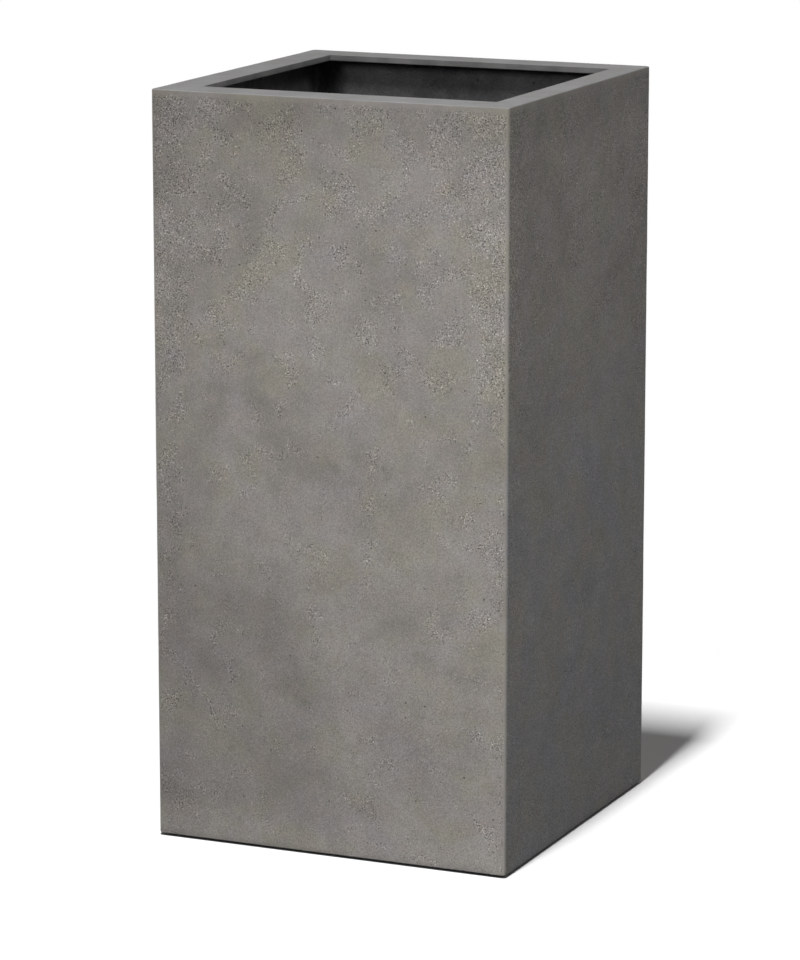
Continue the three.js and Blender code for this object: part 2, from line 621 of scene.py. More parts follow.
    def _zones(self, graph: NodeGraph, height: Socket) -> Socket:
        """Where the coat is coarse: ragged patches, most near the arrises and the top.

        Args:
            graph: the material.
            height: height over the floor.

        Returns:
            The zones, from 0 to 1.
        """
        patches = graph.noise(self.zone_size, detail=5.0, roughness=0.65, distortion=0.6)
        raised = graph.spread(height, *self.zone_heights, *self.zone_rise)
        by_arris = graph.product(
            graph.spread(self._from_arris(graph), *self.arris_span, 0.0, self.arris_crowd),
            graph.spread(height, *self.arris_heights, *self.arris_rise),
        )
        return graph.spread(graph.total(patches, raised, by_arris), *self.zone_span)

    def _wide(self, graph: NodeGraph) -> Socket:
        """Coordinates that draw the grain out along Y."""
        return graph.moved(scale=(1.0, self.side_stretch, 1.0))

    def _sand(self, graph: NodeGraph) -> Socket:
        """Fine grain with painted light from above: each grain painted dark over its top and pale
        under it.

        Args:
            graph: the material.

        Returns:
            The grain, about 0.
        """
        layers = []
        for lean, offset in ((1.0, 0.0), (-1.0, self.sand_offset)):
            for step, sign in ((0.0, 1.0), (self.sand_drop, -1.0)):
                place = graph.moved(
                    (offset + lean * step, lean * step, -step),
                    scale=(1.0, self.side_stretch, 1.0),
                )
                grains = graph.noise(self.sand_size, detail=1.0, roughness=0.7, vector=place)
                layers.append(graph.product(grains, sign * self.sand_contrast))
        return graph.total(*layers)

    def _sand_light(self, graph: NodeGraph, sandy: Socket, zone: Socket) -> Socket:
        """The painted light and shade of the sand, with more contrast in the coarse zones.

        Args:
            graph: the material.
            sandy: how strong the sand is.
            zone: the coarse zones.

        Returns:
            A factor.
        """
        sand = self._sand(graph)
        sharp = graph.product(graph.maths("ABSOLUTE", sand), zone, self.sharp_shade)
        strength = graph.total(graph.product(sandy, self.sand_shade), sharp)
        return graph.gain(graph.product(sand, strength))

    def _mottling(self, graph: NodeGraph) -> Socket:
        """The light that soft mottles of two sizes leave.

        Args:
            graph: the material.

        Returns:
            A factor.
        """
        small = graph.noise(self.mottle_size, detail=1.0, offset=(0.0, 0.0, 4.0))
        large = graph.noise(self.blotch_size, detail=3.0, roughness=0.6, offset=(8.0, 0.0, 0.0))
        return graph.product(
            graph.swing(small, self.mottle_shade), graph.swing(large, self.blotch_shade)
        )

    def _marks(self, graph: NodeGraph, zone: Socket) -> Socket:
        """Chips with a painted highlight on their lips and painted shade in their hollows, and
        loose specks, as light gained or lost.

        Args:
            graph: the material.
            zone: the coarse zones.

        Returns:
            The light, about 0.
        """
        distance, present = self._scattered(graph, self.chips, zone)
        # Painted shade in the hollow of each chip.
        dark = graph.product(graph.spread(distance, *self.chip_shaded_floor), self.chip_floor_shade)
        shape = graph.total(graph.spread(distance, *self.chip_lit_lip), dark)
        chips = graph.product(shape, present, self.chips.shade)
        distance, present = self._scattered(graph, self.specks, zone)
        kind = graph.noise(self.specks.spacing, offset=(0.0, 0.0, 2.0), detail=0.0)
        specks = graph.product(
            graph.spread(distance, *self.speck_span),
            present,
            graph.spread(kind, *self.speck_kinds, *self.speck_gains),
            self.specks.shade,
        )
        return graph.total(chips, specks)

    def _scattered(
        self, graph: NodeGraph, marks: Scatter, zone: Socket
    ) -> tuple[Socket, Socket]:
        """Cells of ragged outline, some of them with a mark.

        Args:
            graph: the material.
            marks: the kind of mark.
            zone: the coarse zones.

        Returns:
            The distance from the nearest cell's middle, in cell sizes, and whether that
            cell has a mark.
        """
        place = self._wide(graph)
        if marks.stir:
            place = graph.shaken(marks.spacing, marks.stir, place)
        distance, luck = graph.cells(marks.spacing, place)
        crowd = graph.maths("ADD", luck, graph.product(zone, marks.crowd))
        return distance, graph.spread(crowd, *marks.chance)

    def _height_mm(self, graph: NodeGraph, sandy: Socket, pits: Socket) -> Socket:
        """The relief of grit, slow lumps and pits, in millimetres.

        Args:
            graph: the material.
            sandy: how strong the sand is.
            pits: 1 at the bottom of a pit.

        Returns:
            The heights.
        """
        grit = graph.noise(self.grit_size, roughness=0.7, vector=self._wide(graph))
        lumps = graph.noise(self.lump_size, offset=(3.1, 0.0, 0.0))
        return graph.total(
            graph.product(grit, sandy, self.grit_depth),
            graph.product(lumps, self.lump_depth),
            graph.product(pits, -self.pit_depth),
        )

    def _colour(self, graph: NodeGraph, height: Socket, beside: Socket) -> Socket:
        """The coat's colour without its grain, with its painted light and shade.

        Args:
            graph: the material.
            height: height over the floor.
            beside: 1 on the side faces.

        Returns:
            The colour.
        """
        # Painted shade: a colder grey on the side faces low down.
        cold_side_shade = graph.spread(height, *self.cold_side_shade_heights, 0.0, self.cold_side_shade_share)
        clouds = graph.tint(
            graph.product(beside, cold_side_shade), self._clouds(graph), self._cold_side_shade_colour(graph)
        )
        top = graph.spread(height, *self._under_top(self.rim_band))
        foot = graph.spread(height, *self.foot_band, 1.0, 0.0)
        ends = graph.total(
            1.0,
            graph.product(top, graph.either(beside, self.rim_gains)),
            graph.product(foot, graph.either(beside, self.foot_gains)),
        )
        # Painted shade: the side faces darker towards the foot.
        shaded_side_foot = graph.spread(height, *self.shaded_side_foot, self.side_foot_shade, 0.0)
        shade = graph.gain(graph.product(shaded_side_foot, beside))
        painted_light_patches = self._painted_light_patches(graph, height, beside)
        return graph.brighten(clouds, graph.product(ends, painted_light_patches, shade))

    def _clouds(self, graph: NodeGraph) -> Socket:
        """The clouded grey, with its faint tints.

        Args:
            graph: the material.

        Returns:
            The colour.
        """
        clouds = graph.noise(self.cloud_size, detail=3.0, roughness=0.55)
        colour = graph.tint(graph.spread(clouds, *MIDDLE), self.deep, self.pale)
        for tint in self.tints:
            mask = graph.noise(tint.patch_size, detail=3.0, roughness=0.6, offset=tint.offset)
            share = graph.spread(mask, *self.tint_span, 0.0, tint.share)
            colour = graph.tint(share, colour, tint.colour)
        return colour

    def _cold_side_shade_colour(self, graph: NodeGraph) -> Socket:
        """Painted shade of the side faces low down, a colder grey, with faint blue and brown
        blots.

        Args:
            graph: the material.

        Returns:
            The colour.
        """
        blots = graph.noise(self.blot_size, detail=2.0, roughness=0.6, offset=(0.0, 0.0, 5.0))
        cold = graph.tint(graph.spread(blots, *self.blue_span), self.blue_blot, self.cold_side_shade)
        return graph.tint(graph.spread(blots, *self.brown_span), cold, self.brown_blot)

    def _painted_light_patches(self, graph: NodeGraph, height: Socket, beside: Socket) -> Socket:
        """Painted light and shade of the front and the back: soft patches, and shade towards the
        left arris.

        Args:
            graph: the material.
            height: height over the floor.
            beside: 1 on the side faces.

        Returns:
            A factor.
        """
        across = graph.node("ShaderNodeCombineXYZ", {"X": graph.axis("X"), "Z": height})
        # Painted shade towards the left arris.
        light = graph.spread(graph.axis("X"), *self.left_shade_span, self.left_shade_light, 1.0)
        for light_patch in self.painted_light_patches:
            ends = {0: across.outputs[0], 1: (light_patch.x, 0.0, light_patch.z)}
            away = graph.node("ShaderNodeVectorMath", ends, operation="DISTANCE")
            near = graph.spread(away.outputs["Value"], 0.0, light_patch.radius, 1.0 + light_patch.gain, 1.0)
            light = graph.product(light, near)
        change = graph.maths("SUBTRACT", light, 1.0)
        return graph.gain(graph.product(change, graph.loss(beside)))


@dataclass(frozen=True)
class RimCoat:
    """The same coat on the rim, rubbed smooth and paler."""

    name: str = "rim_coat"
    pale: Colour = srgb(148, 147, 147)
    deep: Colour = srgb(136, 135, 134)
    roughness: float = 0.72
    specular: float = 0.2
    cloud_size: float = 0.05
    grain_size: float = 0.0018
    grain_light: Span = (0.98, 1.02)
    grain_depth: float = 0.05
    wave_size: float = 0.03
    wave_depth: float = 0.25

    def material(self) -> bpy.types.Material:
        """Build the finish.

        Returns:
            The material.
        """
        graph = NodeGraph.named(self.name)
        clouds = graph.noise(self.cloud_size, detail=4.0, roughness=0.6)
        colour = graph.tint(graph.spread(clouds, *MIDDLE), self.deep, self.pale)
        grain = graph.noise(self.grain_size)
        colour = graph.brighten(colour, graph.spread(grain, *MIDDLE, *self.grain_light))
        waves = graph.product(graph.noise(self.wave_size), self.wave_depth)
        height_mm = graph.total(graph.product(grain, self.grain_depth), waves)
        return graph.close(colour, self.roughness, height_mm, self.specular)


@dataclass(frozen=True)
class InsidePaint:
    """Charcoal paint brushed over hand-laid glass mat."""

    name: str = "inside_paint"
    pale: Colour = srgb(88, 88, 89)
    deep: Colour = srgb(54, 54, 56)
    roughness: Span = (0.5, 0.7)
    specular: float = 0.35
    cloud_size: float = 0.06
    strand: float = 0.0022
    strand_stretch: float = 0.07
    strand_turns: tuple[Point, ...] = (
        (0.0, 10.0, 40.0),
        (0.0, -15.0, -50.0),
        (0.0, 48.0, 5.0),
        (35.0, 40.0, 90.0),
    )
    strand_span: Span = (0.5, 0.75)
    strand_light: Span = (0.88, 1.14)
    depth: float = 0.8
    lump_size: float = 0.012
    lump_depth: float = 0.9
    pinhole_spacing: float = 0.011
    pinhole_width: Span = (0.16, 0.06)
    pinhole_luck: Span = (0.80, 0.84)
    pinhole_shade: float = 0.6
    pinhole_depth: float = 0.8

    def material(self) -> bpy.types.Material:
        """Build the finish.

        Returns:
            The material.
        """
        graph = NodeGraph.named(self.name)
        clouds = graph.noise(self.cloud_size, detail=4.0, roughness=0.65)
        colour = graph.tint(graph.spread(clouds, *MIDDLE), self.deep, self.pale)
        strands = self._strands(graph)
        lumps = graph.noise(self.lump_size, detail=3.0, roughness=0.6, offset=(0.0, 3.0, 0.0))
        pinholes = graph.hollows(
            self.pinhole_spacing,
            graph.moved((1.0, 2.0, 3.0)),
            self.pinhole_width,
            self.pinhole_luck,
        )
        light = graph.product(
            graph.spread(strands, *self.strand_span, *self.strand_light),
            graph.loss(graph.product(pinholes, self.pinhole_shade)),
        )
        height_mm = graph.total(
            graph.product(strands, self.depth),
            graph.product(lumps, self.lump_depth),
            graph.product(pinholes, -self.pinhole_depth),
        )
        roughness = graph.spread(lumps, *MIDDLE, *self.roughness)
        return graph.close(graph.brighten(colour, light), roughness, height_mm, self.specular)

    def _strands(self, graph: NodeGraph) -> Socket:
        """Chopped strands that lie across each other in several directions.

        Args:
            graph: the material.

        Returns:
            The strands, from 0 to 1.
        """
        result: object = 0.0
        for turn in self.strand_turns:
            place = graph.moved(turn=turn)
            place = graph.moved(scale=(self.strand_stretch, 1.0, 1.0), vector=place)
            layer = graph.noise(self.strand, detail=1.0, vector=place)
            result = graph.maths("MAXIMUM", result, layer)
        return result


@dataclass(frozen=True)
class MouldedRubber:
    """Black rubber, dull, with a fine mould grain and dust in its hollows."""

    name: str = "moulded_rubber"
    black: Colour = srgb(38, 38, 39)
    dusty: Colour = srgb(66, 65, 63)
    roughness: Span = (0.55, 0.9)
    roughness_span: Span = (0.3, 0.8)
    specular: float = 0.4
    dust_size: float = 0.009
    dust_span: Span = (0.42, 0.68)
    dust_share: float = 0.85
    dust_depth: float = 0.1
    grain_size: float = 0.0009
    grain_shade: float = 0.5
    grain_depth: float = 0.12

    def material(self) -> bpy.types.Material:
        """Build the finish.

        Returns:
            The material.
        """
        graph = NodeGraph.named(self.name)
        dust = graph.noise(self.dust_size, detail=4.0, roughness=0.65)
        share = graph.spread(dust, *self.dust_span, 0.0, self.dust_share)
        grain = graph.noise(self.grain_size)
        light = graph.swing(grain, self.grain_shade)
        colour = graph.brighten(graph.tint(share, self.black, self.dusty), light)
        height_mm = graph.total(
            graph.product(grain, self.grain_depth), graph.product(dust, self.dust_depth)
        )
        roughness = graph.spread(dust, *self.roughness_span, *self.roughness)
        return graph.close(colour, roughness, height_mm, self.specular)


@dataclass(frozen=True)
class BondingPaste:
    """Grey bonding paste, troweled, with trapped air and a thin wash of the inside paint."""

    name: str = "bonding_paste"
    pale: Colour = srgb(94, 93, 90)
    deep: Colour = srgb(58, 58, 58)
    roughness: Span = (0.5, 0.72)
    specular: float = 0.4
    wash_size: float = 0.035
    wash_span: Span = (0.35, 0.65)
    bubble_spacing: float = 0.007
    bubble_width: Span = (0.18, 0.08)
    bubble_luck: Span = (0.70, 0.76)
    bubble_shade: float = 0.7
    bubble_depth: float = 0.8
    drag_size: float = 0.004
    drag_depth: float = 0.35

    def material(self) -> bpy.types.Material:
        """Build the finish.

        Returns:
            The material.
        """
        graph = NodeGraph.named(self.name)
        wash = graph.noise(self.wash_size, detail=4.0, roughness=0.65)
        colour = graph.tint(graph.spread(wash, *self.wash_span), self.deep, self.pale)
        bubbles = graph.hollows(
            self.bubble_spacing, graph.place, self.bubble_width, self.bubble_luck
        )
        light = graph.loss(graph.product(bubbles, self.bubble_shade))
        drag = graph.noise(self.drag_size, detail=3.0, roughness=0.6)
        height_mm = graph.total(
            graph.product(drag, self.drag_depth), graph.product(bubbles, -self.bubble_depth)
        )
        roughness = graph.spread(wash, *MIDDLE, *self.roughness)
        return graph.close(graph.brighten(colour, light), roughness, height_mm, self.specular)


# ------------------------------------------------------------------ modelling bench

# An extruded outline is shaped this high over the piece, clear of everything else.
LIFT = 1.0
# Points nearer than this count as one place.
CLOSE = 0.02 * MM
# Edges over this length still run the whole way along a wall.
LONG_EDGE = 250 * MM
ORIGIN = Vector((0.0, 0.0, 0.0))
CORNERS = ((-1, -1), (1, -1), (1, 1), (-1, 1))


@dataclass(frozen=True)
class Ring:
    """A level outline: a rectangle with round corners."""

    low_x: float
    low_y: float
    high_x: float
    high_y: float
    radius: float
    z: float

    @classmethod
    def centred(cls, size_x: float, size_y: float, radius: float, z: float) -> "Ring":
        """An outline of this size about the middle of the planter."""
        return cls(-size_x / 2, -size_y / 2, size_x / 2, size_y / 2, radius, z)

    def middle(self) -> Vector:
        """Its middle."""
        return Vector(((self.low_x + self.high_x) / 2, (self.low_y + self.high_y) / 2, self.z))

    def corner(self, side_x: int, side_y: int) -> Vector:
        """The middle of one corner's arc.

        Args:
            side_x, side_y: -1 or 1, for the low or the high side.

        Returns:
            The point.
        """
        x = self.high_x - self.radius if side_x > 0 else self.low_x + self.radius
        y = self.high_y - self.radius if side_y > 0 else self.low_y + self.radius
        return Vector((x, y, self.z))

    def distance(self, point: Vector) -> float:
        """How far outside the outline a point is, negative inside.

        Args:
            point: a place; its height plays no part.

        Returns:
            The distance in metres.
        """
        past_x = max(self.low_x + self.radius - point.x, point.x - self.high_x + self.radius)
        past_y = max(self.low_y + self.radius - point.y, point.y - self.high_y + self.radius)
        outside = math.hypot(max(past_x, 0.0), max(past_y, 0.0))
        return outside + min(max(past_x, past_y), 0.0) - self.radius

    def holds(self, point: Vector) -> bool:
        """Whether a point lies on the outline."""
        return abs(point.z - self.z) < CLOSE and abs(self.distance(point)) < CLOSE


def clear_bench() -> None:
    """Go to object mode with nothing selected."""
    if bpy.context.mode != "OBJECT":
        bpy.ops.object.mode_set(mode="OBJECT")
    bpy.ops.object.select_all(action="DESELECT")


def take(piece: bpy.types.Object) -> None:
    """Select one object only and make it active.

    Args:
        piece: the object.
    """
    clear_bench()
    bpy.context.view_layer.objects.active = piece
    piece.select_set(True)


class Workpiece:
    """One new mesh, shaped in edit mode with everyday modelling tools."""

    def __init__(self, name: str) -> None:
        """Take the primitive that was just added as the workpiece.

        Args:
            name: the piece's name.
        """
        self.object = bpy.context.active_object
        self.object.name = name
        self.object.data.name = name
        bpy.ops.object.transform_apply(location=True, rotation=True, scale=True)
        bpy.ops.object.mode_set(mode="EDIT")

    @classmethod
    def block(cls, name: str, low: Vector, high: Vector) -> "Workpiece":
        """Start from a block.

        Args:
            name: the piece's name.
            low, high: its lowest and highest corner.

        Returns:
            The workpiece, in edit mode.
        """
        clear_bench()
        bpy.ops.mesh.primitive_cube_add(size=1, location=(low + high) / 2, scale=high - low)
        return cls(name)

    @classmethod
    def turned(
        cls, name: str, centre: Vector, profile: list[Span], sides: int = 64
    ) -> "Workpiece":
        """Draw a filled circle along a profile, as on a lathe.

        Args:
            name: the piece's name.
            centre: a point on the upright axis; heights are counted from it.
            profile: radius and height at each step.
            sides: corners round the axis.

        Returns:
            The closed workpiece, in edit mode.
        """
        clear_bench()
        radius, height = profile[0]
        start = centre + Vector((0, 0, height))
        bpy.ops.mesh.primitive_circle_add(
            vertices=sides, radius=radius, fill_type="NGON", location=start
        )
        work = cls(name)
        for next_radius, next_height in profile[1:]:
            work.pull(next_height - height)
            work.grow(next_radius / radius, centre)
            radius, height = next_radius, next_height
        return work

    @classmethod
    def reopened(cls, piece: bpy.types.Object) -> "Workpiece":
        """Put a finished piece on the bench again, in edit mode."""
        take(piece)
        return cls(piece.name)

    def pick(self, kind: str, test: Callable[[object], bool]) -> None:
        """Select elements by a test, and nothing else.

        Args:
            kind: VERT, EDGE or FACE.
            test: tells of one bmesh element whether to select it.
        """
        bpy.ops.mesh.select_mode(type=kind)
        bpy.ops.mesh.select_all(action="DESELECT")
        mesh = bmesh.from_edit_mesh(self.object.data)
        for element in {"VERT": mesh.verts, "EDGE": mesh.edges, "FACE": mesh.faces}[kind]:
            if test(element):
                element.select_set(True)
        mesh.select_flush_mode()
        bmesh.update_edit_mesh(self.object.data)

    def pick_all(self) -> None:
        """Select the whole mesh."""
        bpy.ops.mesh.select_mode(type="VERT")
        bpy.ops.mesh.select_all(action="SELECT")

    def bevel(self, width: float, segments: int) -> None:
        """Round over the selected edges."""
        bpy.ops.mesh.bevel(offset=width, offset_type="OFFSET", segments=segments, affect="EDGES")

    def shift(self, x: float = 0.0, y: float = 0.0, z: float = 0.0) -> None:
        """Move what is selected."""
        bpy.ops.transform.translate(value=(x, y, z))

    def pull(self, z: float) -> None:
        """Extrude what is selected upwards."""
        bpy.ops.mesh.extrude_region_move(TRANSFORM_OT_translate={"value": (0.0, 0.0, z)})

    def grow(self, share: float, centre: Vector) -> None:
        """Scale what is selected along X and Y about a point."""
        bpy.ops.transform.resize(value=(share, share, 1.0), center_override=centre)

    def cut(self, pieces: int) -> None:
        """Divide the selected edges into equal lengths."""
        bpy.ops.mesh.subdivide(number_cuts=pieces - 1)

    def cut_along(
        self,
        axis: int,
        rounds: Iterable[int],
        test: Callable[[bmesh.types.BMEdge], bool] = lambda edge: True,
    ) -> None:
        """Divide long edges that run along an axis, and then their parts again.

        Args:
            axis: 0, 1 or 2 for X, Y or Z.
            rounds: how many parts each edge gets, for one round after another.
            test: tells of an edge whether to divide it.
        """
        least = LONG_EDGE
        for count in rounds:
            self.pick("EDGE", lambda e: runs_along(e, axis, least) and test(e))
            self.cut(count)
            least /= 2 * count

    def round_corners(self, radius: float, segments: int) -> None:
        """Round over the upright edges of a fresh block."""
        self.pick("EDGE", lambda e: runs_along(e, 2, CLOSE))
        self.bevel(radius, segments)

    def slice_grid(self, low: Vector, high: Vector, cells: int) -> None:
        """Cut the whole mesh into upright cells, as many along X as along Y.

        Args:
            low, high: the lowest and highest corner of the mesh.
            cells: how many cells there are from side to side.
        """
        for axis in (0, 1):
            normal = Vector((axis == 0, axis == 1, 0))
            for step in range(1, cells):
                place = low[axis] + (high[axis] - low[axis]) * step / cells
                self.pick_all()
                bpy.ops.mesh.bisect(plane_co=normal * place, plane_no=normal)

    def next_ring(self, old: Ring, new: Ring) -> None:
        """Extrude the selected outline into another one and leave that selected.

        Args:
            old: the outline that is selected.
            new: the outline to end on, whose corners have as many points.
        """
        self.pull(LIFT)
        lifted = old.z + LIFT
        middle = old.middle()
        for side_x, side_y in CORNERS:
            self.pick(
                "VERT",
                lambda v: v.co.z > lifted - CLOSE
                and (v.co.x - middle.x) * side_x > 0
                and (v.co.y - middle.y) * side_y > 0,
            )
            centre = old.corner(side_x, side_y)
            self.grow(new.radius / old.radius, centre)
            step = new.corner(side_x, side_y) - centre
            self.shift(x=step.x, y=step.y)
        self.pick("VERT", lambda v: v.co.z > lifted - CLOSE)
        self.shift(z=new.z - lifted)

    def pick_ring(self, ring: Ring) -> None:
        """Select the edges that lie on an outline."""
        self.pick("EDGE", lambda e: all(ring.holds(v.co) for v in e.verts))

    def line(self, rings: list[Ring]) -> None:
        """Take both ends off a block and give it an inner side, from its top to its foot.

        Args:
            rings: the outlines in order, from the block's own at the top to the last one
                at the height of its foot, where the two sides are joined.
        """
        self.pick("FACE", lambda f: abs(f.normal.z) > 0.5)
        bpy.ops.mesh.delete(type="ONLY_FACE")
        self.pick_ring(rings[0])
        for old, new in zip(rings, rings[1:]):
            self.next_ring(old, new)
        foot = rings[-1].z + CLOSE
        self.pick("EDGE", lambda e: all(v.co.z < foot for v in e.verts))
        bpy.ops.mesh.bridge_edge_loops()

    def cleaned(self) -> bpy.types.Object:
        """Merge doubles, face everything outwards and leave edit mode.

        Returns:
            The finished object.
        """
        self.pick_all()
        bpy.ops.mesh.remove_doubles(threshold=0.01 * MM)
        bpy.ops.mesh.normals_make_consistent(inside=False)
        bpy.ops.object.mode_set(mode="OBJECT")
        return self.object


def runs_along(edge: bmesh.types.BMEdge, axis: int, at_least: float) -> bool:
    """Whether an edge is parallel to an axis and longer than a length."""
    step = edge.verts[1].co - edge.verts[0].co
    return abs(step[axis]) > at_least and step.length - abs(step[axis]) < CLOSE


def lies_level(edge: bmesh.types.BMEdge) -> bool:
    """Whether both ends of an edge are at one height."""
    return abs(edge.verts[0].co.z - edge.verts[1].co.z) < CLOSE


def apply_modifier(piece: bpy.types.Object, kind: str, **settings: object) -> None:
    """Add a modifier, set it and apply it.

    Args:
        piece: the object.
        kind: Blender's modifier type.
        settings: its attributes.
    """
    take(piece)
    modifier = piece.modifiers.new(kind.lower(), kind)
    for name, value in settings.items():
        setattr(modifier, name, value)
    bpy.ops.object.modifier_apply(modifier=modifier.name)


def lay_waves(
    piece: bpy.types.Object,
    weight: Callable[[Vector], float],
    size: float,
    depth: float,
    octaves: int = 2,
) -> None:
    """Press slow waves into part of a piece, never outwards.

    Args:
        piece: the object.
        weight: how freely the point at a place moves, from 0 or less to 1 or more.
        size: size of one wave.
        depth: how deep the deepest one is.
        octaves: layers of finer waves.
    """
    group = piece.vertex_groups.new(name="waves")
    for vertex in piece.data.vertices:
        share = weight(vertex.co)
        if share > 0:
            group.add([vertex.index], min(share, 1.0), "REPLACE")
    texture = bpy.data.textures.new("waves", "CLOUDS")
    texture.noise_scale = size
    texture.noise_depth = octaves
    apply_modifier(
        piece,
        "DISPLACE",
        texture=texture,
        texture_coords="LOCAL",
        vertex_group=group.name,
        mid_level=1.0,
        strength=depth,
    )
    bpy.data.textures.remove(texture)
    piece.vertex_groups.clear()


def smooth_shading(piece: bpy.types.Object, degrees: float = 40.0) -> None:
    """Shade smooth across angles flatter than this."""
    take(piece)
    bpy.ops.object.shade_smooth_by_angle(angle=math.radians(degrees))


def own_copy(piece: bpy.types.Object, name: str) -> bpy.types.Object:
    """A copy of a piece with its own mesh.

    Args:
        piece: the object.
        name: the copy's name.

    Returns:
        The copy.
    """
    take(piece)
    bpy.ops.object.duplicate(linked=False)
    copy = bpy.context.active_object
    copy.name = name
    copy.data.name = name
    return copy


def drill(
    piece: bpy.types.Object, hole: Vector, radius: float, depth: float, flare: float
) -> None:
    """Drill a round hole down through a plate and break both of its edges.

    Args:
        piece: the plate.
        hole: the hole's middle, on the plate's top.
        radius: the hole's radius.
        depth: the plate's thickness.
        flare: width of the broken edges.
    """
    over = 1 * MM
    profile = [
        (radius + flare + over, over),
        (radius, -flare),
        (radius, flare - depth),
        (radius + flare + over, -depth - over),
    ]
    cutter = Workpiece.turned("cutter", hole, profile).cleaned()
    apply_modifier(piece, "BOOLEAN", object=cutter, operation="DIFFERENCE", solver="EXACT")
    bpy.data.meshes.remove(cutter.data)


@dataclass
class SubAssembly:
    """What every sub-assembly has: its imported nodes, and the pieces that stand for them."""

    nodes: tuple[str, ...] = ()
    finishes: tuple[Finish, ...] = ()
    slot: Slot = Slot.INSIDE
    body: Body = Body.PLANTER
    pieces: list[bpy.types.Object] = field(init=False, default_factory=list)

    def build(self) -> None:
        """Model the pieces."""
        raise NotImplementedError

    @property
    def node(self) -> str:
        """The first node."""
        return self.nodes[0]

    @property
    def piece(self) -> bpy.types.Object:
        """The first piece."""
        return self.pieces[0]

    def dress(self) -> None:
        """Give each piece its finishes, its body and its node's place."""
        materials = [finish.material() for finish in self.finishes]
        for node, piece in zip(self.nodes, self.pieces):
            for material in materials:
                piece.data.materials.append(material)
            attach(piece, self.body.value)
            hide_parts(node)


# ------------------------------------------------------------------ the outer shell


class ShellPart(Enum):
    """The parts of the shell that have a finish of their own, in slot order."""

    FACE = 0
    RIM = 1
    LIP = 2
    INSIDE = 3


